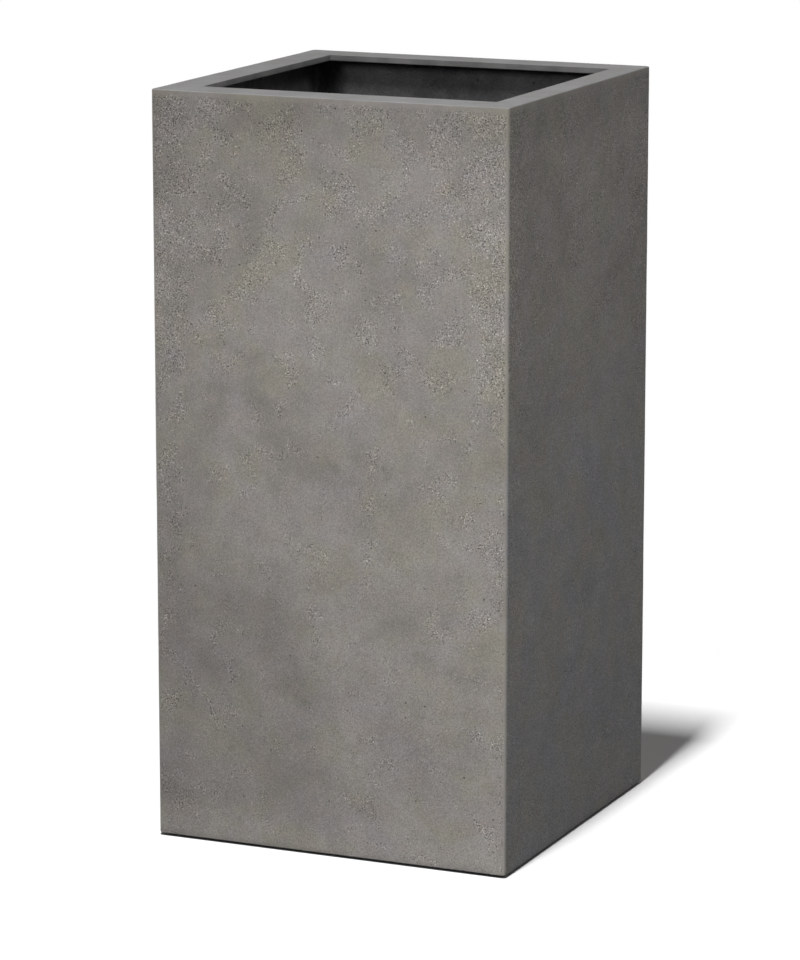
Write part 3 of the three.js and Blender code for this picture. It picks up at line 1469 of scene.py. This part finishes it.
@dataclass
class OuterShell(SubAssembly):
    """The one-piece moulding: four walls and the rim returned inwards."""

    nodes: tuple[str, ...] = ("outer_shell",)
    finishes: tuple[Finish, ...] = (
        StoneFace(),
        RimCoat(),
        # The lip: the rim's coat darker, partly overspray of the inside paint and partly painted
        # shade.
        RimCoat("lip_coat", srgb(112, 111, 110), srgb(88, 88, 88)),
        InsidePaint(),
    )
    slot: Slot = Slot.STONE
    wall: float = 5 * MM
    corner_radius: float = 4 * MM
    inside_radius: float = 6 * MM
    opening_radius: float = 1.2 * MM
    edge_radius: float = 1.8 * MM
    lip_radius: float = 0.7 * MM
    laminate_radius: float = 3 * MM
    rim_left: float = 40 * MM
    rim_right: float = 30 * MM
    rim_front: float = 40 * MM
    rim_back: float = 42 * MM
    rim_thickness: float = 6.5 * MM
    rim_strips: int = 7
    ceiling_strips: int = 3
    columns: tuple[int, int] = (8, 10)
    outer_rows: tuple[int, int] = (16, 10)
    inner_rows: tuple[int, int] = (6, 10)
    face_wave: float = 55 * MM
    face_depth: float = 0.3 * MM
    ripple: float = 14 * MM
    ripple_depth: float = 0.1 * MM
    laminate_wave: float = 30 * MM
    laminate_depth: float = 1.5 * MM
    laminate_ease: float = 20 * MM
    bonded_height: float = 34 * MM
    ceiling_clear: float = 4 * MM
    pit_seed: int = 7
    pit_foot: float = 20 * MM
    pit_rim: float = 6 * MM
    pit_tilt: float = 0.1
    pit_sink: float = 0.1 * MM
    pit_rise: float = 1.5
    pit_crowd: Span = (0.35, 1.3)
    pit_shake: float = 0.35 * MM
    pit_sizes: tuple[tuple[float, float, float], ...] = (
        (1.5 * MM, 0.30 * MM, 0.006),
        (1.9 * MM, 0.45 * MM, 0.003),
        (2.1 * MM, 0.60 * MM, 0.001),
    )

    def __post_init__(self) -> None:
        """Place the shell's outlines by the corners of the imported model."""
        self.low, self.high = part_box(self.node)
        low, high = self.low, self.high
        size_x, size_y = high.x - low.x, high.y - low.y
        underside = high.z - self.rim_thickness
        self.outer_top = Ring.centred(size_x, size_y, self.corner_radius, high.z)
        self.outer_foot = Ring.centred(size_x, size_y, self.corner_radius, low.z)
        opening = (
            low.x + self.rim_left,
            low.y + self.rim_front,
            high.x - self.rim_right,
            high.y - self.rim_back,
            self.opening_radius,
        )
        self.opening_top = Ring(*opening, high.z)
        self.opening_foot = Ring(*opening, underside)
        inside = (size_x - 2 * self.wall, size_y - 2 * self.wall, self.inside_radius)
        self.inner_top = Ring.centred(*inside, underside)
        self.inner_foot = Ring.centred(*inside, low.z)

    def build(self) -> None:
        """Model the shell from a block: opened, lined, rounded and cut into cells."""
        work = Workpiece.block("planter_shell", self.low, self.high)
        work.round_corners(self.corner_radius, segments=4)
        opening = [self.opening_top, self.opening_foot]
        work.line([self.outer_top, *opening, self.inner_top, self.inner_foot])
        self._soften_edges(work)
        self._cut_cells(work)
        self._press_pits(work)
        self.pieces.append(work.cleaned())
        lay_waves(self.piece, self._on_coat, self.face_wave, self.face_depth)
        lay_waves(self.piece, self._on_coat, self.ripple, self.ripple_depth, octaves=1)
        lay_waves(
            self.piece, self._on_laminate, self.laminate_wave, self.laminate_depth, octaves=3
        )
        smooth_shading(self.piece, degrees=35.0)

    def _soften_edges(self, work: Workpiece) -> None:
        """Round over the rim, its lip, the foot and the laminate's inside corner.

        Args:
            work: the shell.
        """
        for ring, radius, segments in (
            (self.outer_top, self.edge_radius, 3),
            (self.outer_foot, self.edge_radius, 2),
            (self.opening_top, self.lip_radius, 2),
            (self.opening_foot, self.lip_radius, 1),
            (self.inner_top, self.laminate_radius, 2),
        ):
            work.pick_ring(ring)
            work.bevel(radius, segments)

    def _cut_cells(self, work: Workpiece) -> None:
        """Cut the walls into cells, fine outside and coarser inside.

        Args:
            work: the shell.
        """

        def outside(edge: bmesh.types.BMEdge) -> bool:
            """Whether an edge lies on the outer faces."""
            return self._on_coat(edge.verts[0].co)

        def across(edge: bmesh.types.BMEdge, z: float) -> bool:
            """Whether an edge runs across the rim at this height."""
            flat = all(abs(v.co.z - z) < CLOSE for v in edge.verts)
            return flat and 2 * self.wall < edge.calc_length() < LONG_EDGE

        work.pick("EDGE", lambda e: across(e, self.high.z))
        work.cut(self.rim_strips)
        work.pick("EDGE", lambda e: across(e, self.inner_top.z))
        work.cut(self.ceiling_strips)
        work.cut_along(2, self.outer_rows, outside)
        work.cut_along(2, self.inner_rows, lambda e: not outside(e))
        for axis in (0, 1):
            work.cut_along(axis, self.columns)

    def _press_pits(self, work: Workpiece) -> None:
        """Press scattered pits into the outer faces, more of them towards the top.

        Args:
            work: the shell.
        """
        rng = random.Random(self.pit_seed)
        height = self.high.z - self.low.z
        least, more = self.pit_crowd
        for inset, depth, share in self.pit_sizes:

            def chosen(face: bmesh.types.BMFace) -> bool:
                """Whether a cell gets a pit.

                Args:
                    face: the cell.

                Returns:
                    True for few of the flat upright cells, and False for all others.
                """
                centre = face.calc_center_median()
                upright = abs(face.normal.z) < self.pit_tilt
                on_face = self.outer_top.distance(centre) > -self.pit_sink
                open_height = self.pit_foot < centre.z < self.high.z - self.pit_rim
                if not (upright and on_face and open_height):
                    return False
                raised = (centre.z / height) ** self.pit_rise
                return rng.random() < share * (least + more * raised)

            work.pick("FACE", chosen)
            bpy.ops.mesh.inset(thickness=inset, depth=-depth, use_individual=True)
            bpy.ops.transform.vertex_random(offset=self.pit_shake, seed=self.pit_seed)

    def _on_coat(self, point: Vector) -> bool:
        """Whether a point lies on the outer faces or close behind them."""
        return self.outer_top.distance(point) > -self.wall / 2

    def _on_laminate(self, point: Vector) -> float:
        """How freely a point of the inside waves: not at all by the base, rim and corners.

        Args:
            point: a place.

        Returns:
            The share of the full wave.
        """
        if self._on_coat(point):
            return 0.0
        ceiling = self.inner_top.z - self.ceiling_clear
        return min(point.z - self.bonded_height, ceiling - point.z) / self.laminate_ease

    def _part_of(self, face: bmesh.types.BMFace) -> ShellPart:
        """Which part of the shell a face belongs to.

        Args:
            face: a face of the finished shell.

        Returns:
            The part.
        """
        centre = face.calc_center_median()
        over_lip = centre.z - self.opening_foot.z
        if not self._on_coat(centre) and over_lip < self.lip_radius / 4:
            return ShellPart.INSIDE
        if self.opening_top.distance(centre) < self.lip_radius / 2 and over_lip > CLOSE:
            return ShellPart.LIP
        if centre.z > self.high.z - self.edge_radius / 2:
            return ShellPart.RIM
        return ShellPart.FACE

    def dress(self) -> None:
        """Dress the shell, then give each of its parts its own finish."""
        super().dress()
        work = Workpiece.reopened(self.piece)
        for part in ShellPart:
            work.pick("FACE", lambda f: self._part_of(f) is part)
            self.piece.active_material_index = part.value
            bpy.ops.object.material_slot_assign()
        clear_bench()


# ------------------------------------------------------------------ base and its fillet


@dataclass
class BasePanel(SubAssembly):
    """The floor of the planter, laid up on a flat table and drilled for the drain."""

    nodes: tuple[str, ...] = ("base_panel",)
    finishes: tuple[Finish, ...] = (
        InsidePaint("base_paint", srgb(70, 70, 71), srgb(44, 44, 45), depth=0.7),
    )
    corner_radius: float = 5.7 * MM
    drain_radius: float = 15 * MM
    drain_flare: float = 0.6 * MM
    cells: int = 60
    level_border: float = 14 * MM
    pad_places: float = 150 * MM
    pad_clear: float = 26 * MM
    wave: float = 28 * MM
    wave_depth: float = 0.9 * MM

    def build(self) -> None:
        """Model the panel from a block: rounded, cut into cells, waved and drilled."""
        low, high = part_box(self.node)
        work = Workpiece.block("planter_base", low, high)
        work.round_corners(self.corner_radius, segments=4)
        work.slice_grid(low, high, self.cells)
        self.pieces.append(work.cleaned())
        reach = high.x - self.level_border

        def laid(point: Vector) -> bool:
            """Whether a point is clear of the border, the drain and the pads.

            Args:
                point: a point of the panel.

            Returns:
                True where the laminate lies open.
            """
            off_x, off_y = abs(point.x), abs(point.y)
            from_pad = math.hypot(off_x - self.pad_places, off_y - self.pad_places)
            from_drain = math.hypot(off_x, off_y)
            clear = from_pad > self.pad_clear and from_drain > 2 * self.drain_radius
            return clear and max(off_x, off_y) < reach

        lay_waves(self.piece, laid, self.wave, self.wave_depth, octaves=3)
        hole = Vector((0, 0, high.z))
        drill(self.piece, hole, self.drain_radius, high.z - low.z, self.drain_flare)
        smooth_shading(self.piece)


@dataclass
class BondingFillet(SubAssembly):
    """The ring of paste in the angle of base and walls, struck hollow with a spatula."""

    nodes: tuple[str, ...] = ("base_bonding_fillet",)
    finishes: tuple[Finish, ...] = (BondingPaste(),)
    corner_radius: float = 5.7 * MM
    leg: float = 12 * MM
    hollow_steps: int = 6
    land: float = 0.4 * MM
    toe: float = 0.3 * MM
    cells: tuple[int, int] = (8, 10)
    wave: float = 18 * MM
    wave_depth: float = 0.9 * MM

    def build(self) -> None:
        """Model the ring from a block whose outline runs in along the hollow and back."""
        low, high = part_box(self.node)
        size_x, size_y = high.x - low.x, high.y - low.y
        top = Ring.centred(size_x, size_y, self.corner_radius, high.z)
        foot = Ring.centred(size_x, size_y, self.corner_radius, low.z)
        work = Workpiece.block("planter_fillet", low, high)
        work.round_corners(self.corner_radius, segments=6)
        work.line([top, *self._hollow(size_x, size_y, low.z)])
        for axis in (0, 1):
            work.cut_along(axis, self.cells)
        self.pieces.append(work.cleaned())

        def struck(point: Vector) -> bool:
            """Whether a point is on the open side of the paste."""
            return foot.distance(point) < -CLOSE and point.z > low.z + CLOSE

        lay_waves(self.piece, struck, self.wave, self.wave_depth)
        smooth_shading(self.piece, degrees=50.0)

    def _hollow(self, size_x: float, size_y: float, bottom: float) -> list[Ring]:
        """The outlines from the top of the wall side along the hollow to the underside.

        Args:
            size_x, size_y: the ring's outer size.
            bottom: height of its underside.

        Returns:
            The outlines in order.
        """
        rings = []
        for step in range(self.hollow_steps + 1):
            angle = math.pi / 2 * step / self.hollow_steps
            inset = self.land + (self.leg - self.land) * (1 - math.cos(angle))
            z = bottom + self.toe + (self.leg - self.toe) * (1 - math.sin(angle))
            radius = self.corner_radius + self.leg - inset
            rings.append(Ring.centred(size_x - 2 * inset, size_y - 2 * inset, radius, z))
        return [*rings, replace(rings[-1], z=bottom)]


# ------------------------------------------------------------------ shelf and its ledges


@dataclass
class PlantingShelf(SubAssembly):
    """The loose plate that carries the plant, with a lifting hole and four drains."""

    nodes: tuple[str, ...] = ("planting_shelf",)
    finishes: tuple[Finish, ...] = (
        InsidePaint("shelf_paint", srgb(78, 78, 79), srgb(50, 50, 51), depth=0.4),
    )
    body: Body = Body.SHELF
    corner_radius: float = 14 * MM
    edge_radius: float = 1.5 * MM
    lift_radius: float = 20 * MM
    drain_radius: float = 15 * MM
    drain_offset: float = 105 * MM
    flare: float = 1.2 * MM
    cells: int = 60
    level_border: float = 10 * MM
    wave: float = 32 * MM
    wave_depth: float = 0.7 * MM

    def build(self) -> None:
        """Model the shelf from a block: rounded, cut into cells, waved and drilled."""
        low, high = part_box(self.node)
        work = Workpiece.block("planter_shelf", low, high)
        work.round_corners(self.corner_radius, segments=8)
        work.pick("EDGE", lies_level)
        work.bevel(self.edge_radius, segments=3)
        work.slice_grid(low, high, self.cells)
        self.pieces.append(work.cleaned())
        reach = high.x - self.level_border
        lay_waves(
            self.piece,
            lambda p: max(abs(p.x), abs(p.y)) < reach,
            self.wave,
            self.wave_depth,
            octaves=3,
        )
        thickness = high.z - low.z
        drill(self.piece, Vector((0, 0, high.z)), self.lift_radius, thickness, self.flare)
        for side_x, side_y in CORNERS:
            hole = Vector((side_x * self.drain_offset, side_y * self.drain_offset, high.z))
            drill(self.piece, hole, self.drain_radius, thickness, self.flare)
        smooth_shading(self.piece)


@dataclass
class ShelfLedges(SubAssembly):
    """The four three-cornered ledges that are laminated into the corners."""

    nodes: tuple[str, ...] = (
        "shelf_ledge_back_right",
        "shelf_ledge_back_left",
        "shelf_ledge_front_left",
        "shelf_ledge_front_right",
    )
    finishes: tuple[Finish, ...] = (
        InsidePaint("ledge_paint", srgb(72, 72, 74), srgb(45, 45, 47)),
    )
    fit_radius: float = 5.7 * MM
    edge_radius: float = 1.4 * MM
    cells: int = 16
    wave: float = 12 * MM
    wave_depth: float = 0.6 * MM

    def build(self) -> None:
        """Model one ledge from a block cut across its corner, then turn copies of it."""
        low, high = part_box(self.node)
        work = Workpiece.block("planter_ledge_back_right", low, high)
        across = Vector((-1, -1, 0)).normalized()
        middle = Vector((low.x + high.x, low.y + high.y, 0)) / 2
        work.pick_all()
        bpy.ops.mesh.bisect(plane_co=middle, plane_no=across, use_fill=True, clear_outer=True)
        corner = high.x + high.y - CLOSE
        work.pick("EDGE", lambda e: all(v.co.x + v.co.y > corner for v in e.verts))
        work.bevel(self.fit_radius, segments=4)
        work.pick(
            "EDGE",
            lambda e: lies_level(e)
            and all(abs((v.co - middle).dot(across)) < CLOSE for v in e.verts),
        )
        work.bevel(self.edge_radius, segments=3)
        work.slice_grid(low, high, self.cells)
        first = work.cleaned()
        for turns, node in enumerate(self.nodes):
            piece = own_copy(first, node.replace("shelf", "planter")) if turns else first
            self._turn(piece, turns)
            self.pieces.append(piece)

        def open_side(point: Vector) -> bool:
            """Whether a point is clear of the top, which the shelf rests on, and the foot."""
            return low.z + CLOSE < point.z < high.z - CLOSE

        for piece in self.pieces:
            lay_waves(piece, open_side, self.wave, self.wave_depth)
            smooth_shading(piece)

    def _turn(self, piece: bpy.types.Object, turns: int) -> None:
        """Turn a ledge about the middle of the planter, a quarter turn at a time.

        Args:
            piece: the ledge.
            turns: how many quarter turns.
        """
        work = Workpiece.reopened(piece)
        work.pick_all()
        angle = -turns * math.pi / 2
        bpy.ops.transform.rotate(value=angle, orient_axis="Z", center_override=ORIGIN)
        work.cleaned()


# ------------------------------------------------------------------ rubber pieces


def in_metres(profile_mm: Iterable[Span]) -> list[Span]:
    """A profile of radii and heights, from millimetres to metres."""
    return [(radius * MM, height * MM) for radius, height in profile_mm]


@dataclass
class DrainBung(SubAssembly):
    """The rubber bung: a ribbed hollow shank, a round head and a knob to pull."""

    nodes: tuple[str, ...] = ("drain_bung",)
    finishes: tuple[Finish, ...] = (MouldedRubber("bung_rubber"),)
    slot: Slot = Slot.RUBBER
    body: Body = Body.BUNG
    sides: int = 96
    knob_mm: tuple[Span, ...] = (
        *((3.9, 29.8), (5.1, 29.55), (5.8, 28.95), (6.0, 28.2), (6.0, 26.9), (5.6, 26.3)),
        *((4.4, 25.5), (4.0, 24.8), (4.0, 21.9), (4.4, 21.1), (5.4, 20.8)),
    )
    head_mm: tuple[Span, ...] = (
        *((14.6, 20.8), (15.0, 20.5), (16.2, 20.5), (16.6, 20.8), (20.0, 20.8)),
        *((20.7, 20.5), (21.0, 19.8), (21.0, 17.2), (20.6, 16.8)),
    )
    shank_mm: tuple[Span, ...] = (
        *((14.7, 16.8), (14.7, 15.6), (14.2, 15.0), (14.3, 13.6), (14.7, 13.2), (14.3, 12.6)),
        *((13.9, 12.0), (13.9, 10.9), (14.2, 10.5), (13.7, 9.6), (13.5, 8.1), (13.1, 7.5)),
    )
    hollow_mm: tuple[Span, ...] = ((10.3, 7.5), (10.0, 7.8), (10.0, 15.8), (9.2, 16.8))

    def build(self) -> None:
        """Draw the bung from its knob down to the hollow in its shank."""
        profile = in_metres((*self.knob_mm, *self.head_mm, *self.shank_mm, *self.hollow_mm))
        work = Workpiece.turned("planter_bung", ORIGIN, profile, self.sides)
        self.pieces.append(work.cleaned())
        smooth_shading(self.piece, degrees=32.0)


@dataclass
class FootPads(SubAssembly):
    """The four rubber pads under the base, with grip rings where they meet the floor."""

    nodes: tuple[str, ...] = (
        "foot_pad_front_left",
        "foot_pad_front_right",
        "foot_pad_back_left",
        "foot_pad_back_right",
    )
    finishes: tuple[Finish, ...] = (MouldedRubber("pad_rubber", dusty=srgb(84, 83, 80)),)
    slot: Slot = Slot.RUBBER
    sides: int = 80
    grooves_mm: tuple[Span, ...] = ((2.2, 5.4), (8.0, 11.2), (13.8, 16.4))
    groove_depth_mm: float = 0.5
    groove_slope_mm: float = 0.4
    flank_mm: tuple[Span, ...] = (
        *((17.6, 0.0), (18.2, 0.2), (20.7, 1.7), (21.0, 2.3), (21.8, 8.0), (22.0, 9.2)),
        (22.0, 10.2),
    )

    def build(self) -> None:
        """Draw one pad upwards from its grip rings, then place copies of it."""
        low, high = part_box(self.node)
        start = Vector(((low.x + high.x) / 2, (low.y + high.y) / 2, 0))
        profile = in_metres((*self._grooves(), *self.flank_mm))
        first = Workpiece.turned("planter_pad_front_left", start, profile, self.sides).cleaned()
        smooth_shading(first, degrees=32.0)
        self.pieces.append(first)
        for node in self.nodes[1:]:
            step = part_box(node)[0] - low
            work = Workpiece.reopened(own_copy(first, node.replace("foot", "planter")))
            work.pick_all()
            work.shift(x=step.x, y=step.y)
            self.pieces.append(work.cleaned())

    def _grooves(self) -> Iterable[Span]:
        """The profile of the foot, with its grooves between the grip rings.

        Returns:
            Radii and heights in millimetres.
        """
        for inner, outer in self.grooves_mm:
            yield (inner, 0.0)
            yield (inner + self.groove_slope_mm, self.groove_depth_mm)
            yield (outer - self.groove_slope_mm, self.groove_depth_mm)
            yield (outer, 0.0)


# ------------------------------------------------------------------ studio


def towards(azimuth: float, elevation: float) -> Vector:
    """A direction from the planter, as azimuth to the right of the front and elevation.

    Args:
        azimuth, elevation: degrees.

    Returns:
        The unit vector.
    """
    turn, rise = math.radians(azimuth), math.radians(elevation)
    return Vector(
        (math.sin(turn) * math.cos(rise), -math.cos(turn) * math.cos(rise), math.sin(rise))
    )


class Reach(Enum):
    """What a lamp lights."""

    PLANTER = "planter only"
    FLOOR = "floor only"


@dataclass(frozen=True)
class Softbox:
    """One oblong lamp that faces the planter."""

    name: str
    azimuth: float
    elevation: float
    distance: float
    width: float
    tall: float
    level: float
    reach: Reach = Reach.PLANTER
    aim: Point = (0.0, 0.0, 0.4)

    def place(self, floor_group: bpy.types.Collection) -> None:
        """Add the lamp.

        Args:
            floor_group: a collection that holds the floor alone.
        """
        back = towards(self.azimuth, self.elevation)
        clear_bench()
        place = Vector(self.aim) + back * self.distance
        bpy.ops.object.light_add(type="AREA", location=place)
        lamp = bpy.context.active_object
        lamp.name = self.name
        lamp.rotation_euler = back.to_track_quat("Z", "Y").to_euler()
        lamp.data.shape = "RECTANGLE"
        lamp.data.size = self.width
        lamp.data.size_y = self.tall
        lamp.data.energy = self.level * math.pi**2 * self.distance**2
        group = bpy.data.collections.new(f"{self.name}_lights")
        group.objects.link(floor_group.objects[0])
        if self.reach is Reach.PLANTER:
            group.collection_objects[0].light_linking.link_state = "EXCLUDE"
        lamp.light_linking.receiver_collection = group


@dataclass(frozen=True)
class Studio:
    """A plain pale floor under soft lamps, with white all round."""

    ambient: float = 0.14
    floor_radius: float = 40.0
    floor_bounce: Colour = srgb(64, 71, 82)
    floor_seen: Colour = (0.87, 0.87, 0.87)
    lit_radius: float = 0.58
    white_radius: float = 0.9
    lamps: tuple[Softbox, ...] = (
        Softbox("high_front_lamp", 0.0, 46.0, 5.0, 0.9, 0.9, 0.39),
        Softbox("low_front_lamp", 0.0, 20.0, 5.0, 0.9, 0.9, 0.22),
        Softbox("right_lamp", 60.0, 45.0, 3.0, 1.0, 1.0, 0.335),
        Softbox("near_lamp", 5.0, 5.0, 1.1, 0.6, 0.6, 0.32, aim=(0.14, -0.2, 0.39)),
        Softbox("back_lamp", 195.0, 0.0, 4.0, 1.6, 0.7, 0.48),
        Softbox("left_lamp", -97.0, 0.0, 4.0, 1.6, 0.7, 0.38),
        Softbox("floor_lamp", 8.5, 75.0, 5.0, 0.25, 0.8, 1.37, Reach.FLOOR),
    )

    def build(self) -> None:
        """Add the world, the floor and the lamps."""
        self._light_world()
        floor_group = bpy.data.collections.new("floor_group")
        floor_group.objects.link(self._lay_floor())
        for lamp in self.lamps:
            lamp.place(floor_group)
        bpy.context.scene.view_settings.view_transform = "Standard"

    def _light_world(self) -> None:
        """Soft light from all round, and white where it is seen."""
        world = bpy.data.worlds.new("studio")
        bpy.context.scene.world = world
        graph = NodeGraph(world)
        inputs = {"Color": WHITE, "Strength": self.ambient}
        soft = graph.node("ShaderNodeBackground", inputs)
        white = graph.node("ShaderNodeBackground", {"Color": WHITE})
        graph.show(graph.blend(graph.seen_directly(), soft, white))

    def _lay_floor(self) -> bpy.types.Object:
        """A round floor: lit near the planter, plain white further out.

        Returns:
            The floor.
        """
        clear_bench()
        bpy.ops.mesh.primitive_circle_add(vertices=96, radius=self.floor_radius, fill_type="NGON")
        floor = bpy.context.active_object
        floor.name = "studio_floor"
        graph = NodeGraph.named("floor_paper")
        seen = graph.seen_directly()
        paper = graph.tint(seen, self.floor_bounce, self.floor_seen)
        near = graph.node("ShaderNodeBsdfDiffuse", {"Color": paper})
        far = graph.node("ShaderNodeEmission")
        reach = graph.node("ShaderNodeVectorMath", {0: graph.place}, operation="LENGTH")
        away = graph.spread(reach.outputs["Value"], self.lit_radius, self.white_radius)
        paper_white = graph.blend(graph.product(away, seen), near, far)
        floor.data.materials.append(graph.show(paper_white))
        return floor


@dataclass(frozen=True)
class PhotographCamera:
    """The camera of the photograph: to the right of the front and a little above."""

    azimuth: float = 23.749
    elevation: float = 11.907
    place: Point = (1.8575, -4.2369, 1.3413)
    lens: float = 165.02
    sensor_width: float = 36.0

    def build(self) -> None:
        """Add the camera and make it the scene's."""
        clear_bench()
        bpy.ops.object.camera_add(location=self.place)
        camera = bpy.context.active_object
        camera.name = "photograph_camera"
        back = towards(self.azimuth, self.elevation)
        camera.rotation_euler = back.to_track_quat("Z", "Y").to_euler()
        camera.data.lens = self.lens
        camera.data.sensor_width = self.sensor_width
        bpy.context.scene.camera = camera


# ------------------------------------------------------------------ assembly


def main() -> None:
    """Build the camera, the studio and every piece."""
    logging.basicConfig(level=logging.INFO, format="%(message)s")
    PhotographCamera().build()
    Studio().build()
    for sub_assembly in (
        OuterShell(),
        BasePanel(),
        BondingFillet(),
        ShelfLedges(),
        PlantingShelf(),
        DrainBung(),
        FootPads(),
    ):
        sub_assembly.build()
        sub_assembly.dress()
        for piece in sub_assembly.pieces:
            LOG.info("%s: %d faces", piece.name, len(piece.data.polygons))


if __name__ == "__main__":
    main()
